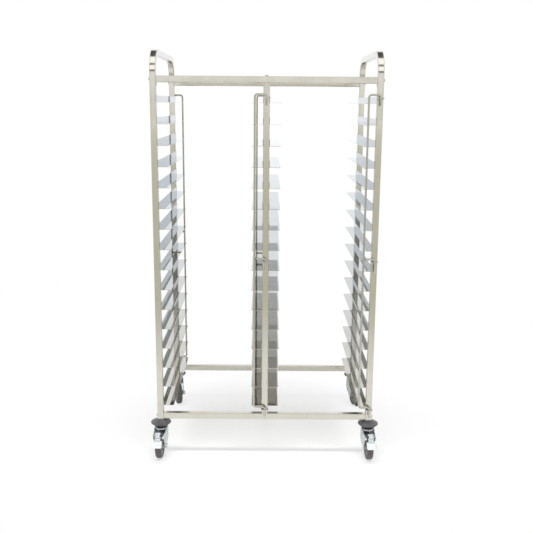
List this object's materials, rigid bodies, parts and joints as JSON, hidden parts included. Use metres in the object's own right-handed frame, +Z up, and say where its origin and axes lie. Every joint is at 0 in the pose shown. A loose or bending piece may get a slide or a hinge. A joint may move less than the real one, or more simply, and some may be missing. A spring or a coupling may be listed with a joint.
{
  "type": "tray trolley",
  "caption": "Tall two-column tray trolley of square steel tube with L-shaped slides, hooped side handles, swing-out rod stops and swivel casters, the front pair braked.",
  "frame": {"origin": "on the floor, at the middle of the outline in X and Y (35.8 mm in front of the middle of the tube frame, because the front brake pedals reach further than the rear bumpers)", "axes": "+X across the two columns, to the right as seen from the front; -Y towards the loading front with the braked casters; +Z up"},
  "size_m": [0.956, 0.7436, 1.66],
  "materials": {
    "tube_steel": "bright satin",
    "slide_steel": "bright mill-rolled",
    "rod_steel": "drawn and polished",
    "bolt_steel": "bright",
    "insert_steel": "machined",
    "ball_steel": "bright",
    "zinc_steel": "bright zinc plate",
    "pedal_steel": "bright zinc plate",
    "bumper_rubber": "matt, moulded",
    "tyre_rubber": "matt, moulded",
    "hub_plastic": "matt, moulded"
  },
  "bodies": {
    "frame": {"left_hoop": "tube_steel", "right_hoop": "tube_steel", "front_top_beam": "tube_steel", "rear_top_beam": "tube_steel", "front_bottom_beam": "tube_steel", "rear_bottom_beam": "tube_steel", "front_centre_post": "tube_steel", "rear_centre_post": "tube_steel", "left_outer_slides": "slide_steel", "left_centre_slides": "slide_steel", "right_centre_slides": "slide_steel", "right_outer_slides": "slide_steel", "stop_lugs": "rod_steel", "side_bolts": "bolt_steel", "centre_bolts": "bolt_steel", "beam_end_inserts": "insert_steel", "centre_post_inserts": "insert_steel", "stem_sockets": "insert_steel", "swivel_balls": "ball_steel", "front_left_bumper": "bumper_rubber", "front_left_swivel_cap": "zinc_steel", "front_right_bumper": "bumper_rubber", "front_right_swivel_cap": "zinc_steel", "rear_left_bumper": "bumper_rubber", "rear_left_swivel_cap": "zinc_steel", "rear_right_bumper": "bumper_rubber", "rear_right_swivel_cap": "zinc_steel"},
    "front_centre_gate": {"front_centre_stop": "rod_steel"},
    "front_right_gate": {"front_right_stop": "rod_steel"},
    "rear_left_gate": {"rear_left_stop": "rod_steel"},
    "rear_centre_gate": {"rear_centre_stop": "rod_steel"},
    "front_left_yoke": {"front_left_fork": "zinc_steel", "front_left_axle_bolt": "zinc_steel", "front_left_axle_nut": "zinc_steel", "front_left_axle_sleeve": "zinc_steel", "front_left_brake_pin": "zinc_steel"},
    "front_left_wheel": {"front_left_hub": "hub_plastic", "front_left_tyre": "tyre_rubber"},
    "front_left_brake": {"front_left_brake_pedal": "pedal_steel"},
    "front_right_yoke": {"front_right_fork": "zinc_steel", "front_right_axle_bolt": "zinc_steel", "front_right_axle_nut": "zinc_steel", "front_right_axle_sleeve": "zinc_steel", "front_right_brake_pin": "zinc_steel"},
    "front_right_wheel": {"front_right_hub": "hub_plastic", "front_right_tyre": "tyre_rubber"},
    "front_right_brake": {"front_right_brake_pedal": "pedal_steel"},
    "rear_left_yoke": {"rear_left_fork": "zinc_steel", "rear_left_axle_bolt": "zinc_steel", "rear_left_axle_nut": "zinc_steel", "rear_left_axle_sleeve": "zinc_steel"},
    "rear_left_wheel": {"rear_left_hub": "hub_plastic", "rear_left_tyre": "tyre_rubber"},
    "rear_right_yoke": {"rear_right_fork": "zinc_steel", "rear_right_axle_bolt": "zinc_steel", "rear_right_axle_nut": "zinc_steel", "rear_right_axle_sleeve": "zinc_steel"},
    "rear_right_wheel": {"rear_right_hub": "hub_plastic", "rear_right_tyre": "tyre_rubber"}
  },
  "joints": [
    {"name": "front_centre_stop_swing", "type": "hinge", "parent": "frame", "child": "front_centre_gate", "pos_m": [0, -0.2837, 0.851], "axis": [0, 0, 1], "range_deg": [0, 180]},
    {"name": "front_right_stop_swing", "type": "hinge", "parent": "frame", "child": "front_right_gate", "pos_m": [0.436, -0.2837, 0.851], "axis": [0, 0, 1], "range_deg": [0, 180]},
    {"name": "rear_left_stop_swing", "type": "hinge", "parent": "frame", "child": "rear_left_gate", "pos_m": [-0.436, 0.3553, 0.851], "axis": [0, 0, 1], "range_deg": [0, 180]},
    {"name": "rear_centre_stop_swing", "type": "hinge", "parent": "frame", "child": "rear_centre_gate", "pos_m": [0, 0.3553, 0.851], "axis": [0, 0, -1], "range_deg": [0, 180]},
    {"name": "front_left_swivel", "type": "hinge", "parent": "frame", "child": "front_left_yoke", "pos_m": [-0.436, -0.2582, 0.12275], "axis": [0, 0, 1], "continuous": true},
    {"name": "front_left_roll", "type": "hinge", "parent": "front_left_yoke", "child": "front_left_wheel", "pos_m": [-0.43733, -0.29618, 0.053], "axis": [0.9994, -0.0349, 0], "continuous": true},
    {"name": "front_left_brake_press", "type": "hinge", "parent": "front_left_yoke", "child": "front_left_brake", "pos_m": [-0.43893, -0.34215, 0.1065], "axis": [0.9994, -0.0349, 0], "range_deg": [0, 14]},
    {"name": "front_right_swivel", "type": "hinge", "parent": "frame", "child": "front_right_yoke", "pos_m": [0.436, -0.2582, 0.12275], "axis": [0, 0, 1], "continuous": true},
    {"name": "front_right_roll", "type": "hinge", "parent": "front_right_yoke", "child": "front_right_wheel", "pos_m": [0.43733, -0.29618, 0.053], "axis": [0.9994, 0.0349, 0], "continuous": true},
    {"name": "front_right_brake_press", "type": "hinge", "parent": "front_right_yoke", "child": "front_right_brake", "pos_m": [0.43893, -0.34215, 0.1065], "axis": [0.9994, 0.0349, 0], "range_deg": [0, 14]},
    {"name": "rear_left_swivel", "type": "hinge", "parent": "frame", "child": "rear_left_yoke", "pos_m": [-0.436, 0.3298, 0.12275], "axis": [0, 0, 1], "continuous": true},
    {"name": "rear_left_roll", "type": "hinge", "parent": "rear_left_yoke", "child": "rear_left_wheel", "pos_m": [-0.42681, 0.29293, 0.053], "axis": [0.9703, 0.2419, 0], "continuous": true},
    {"name": "rear_right_swivel", "type": "hinge", "parent": "frame", "child": "rear_right_yoke", "pos_m": [0.436, 0.3298, 0.12275], "axis": [0, 0, 1], "continuous": true},
    {"name": "rear_right_roll", "type": "hinge", "parent": "rear_right_yoke", "child": "rear_right_wheel", "pos_m": [0.4426, 0.29238, 0.053], "axis": [0.9848, 0.1736, 0], "continuous": true}
  ]
}
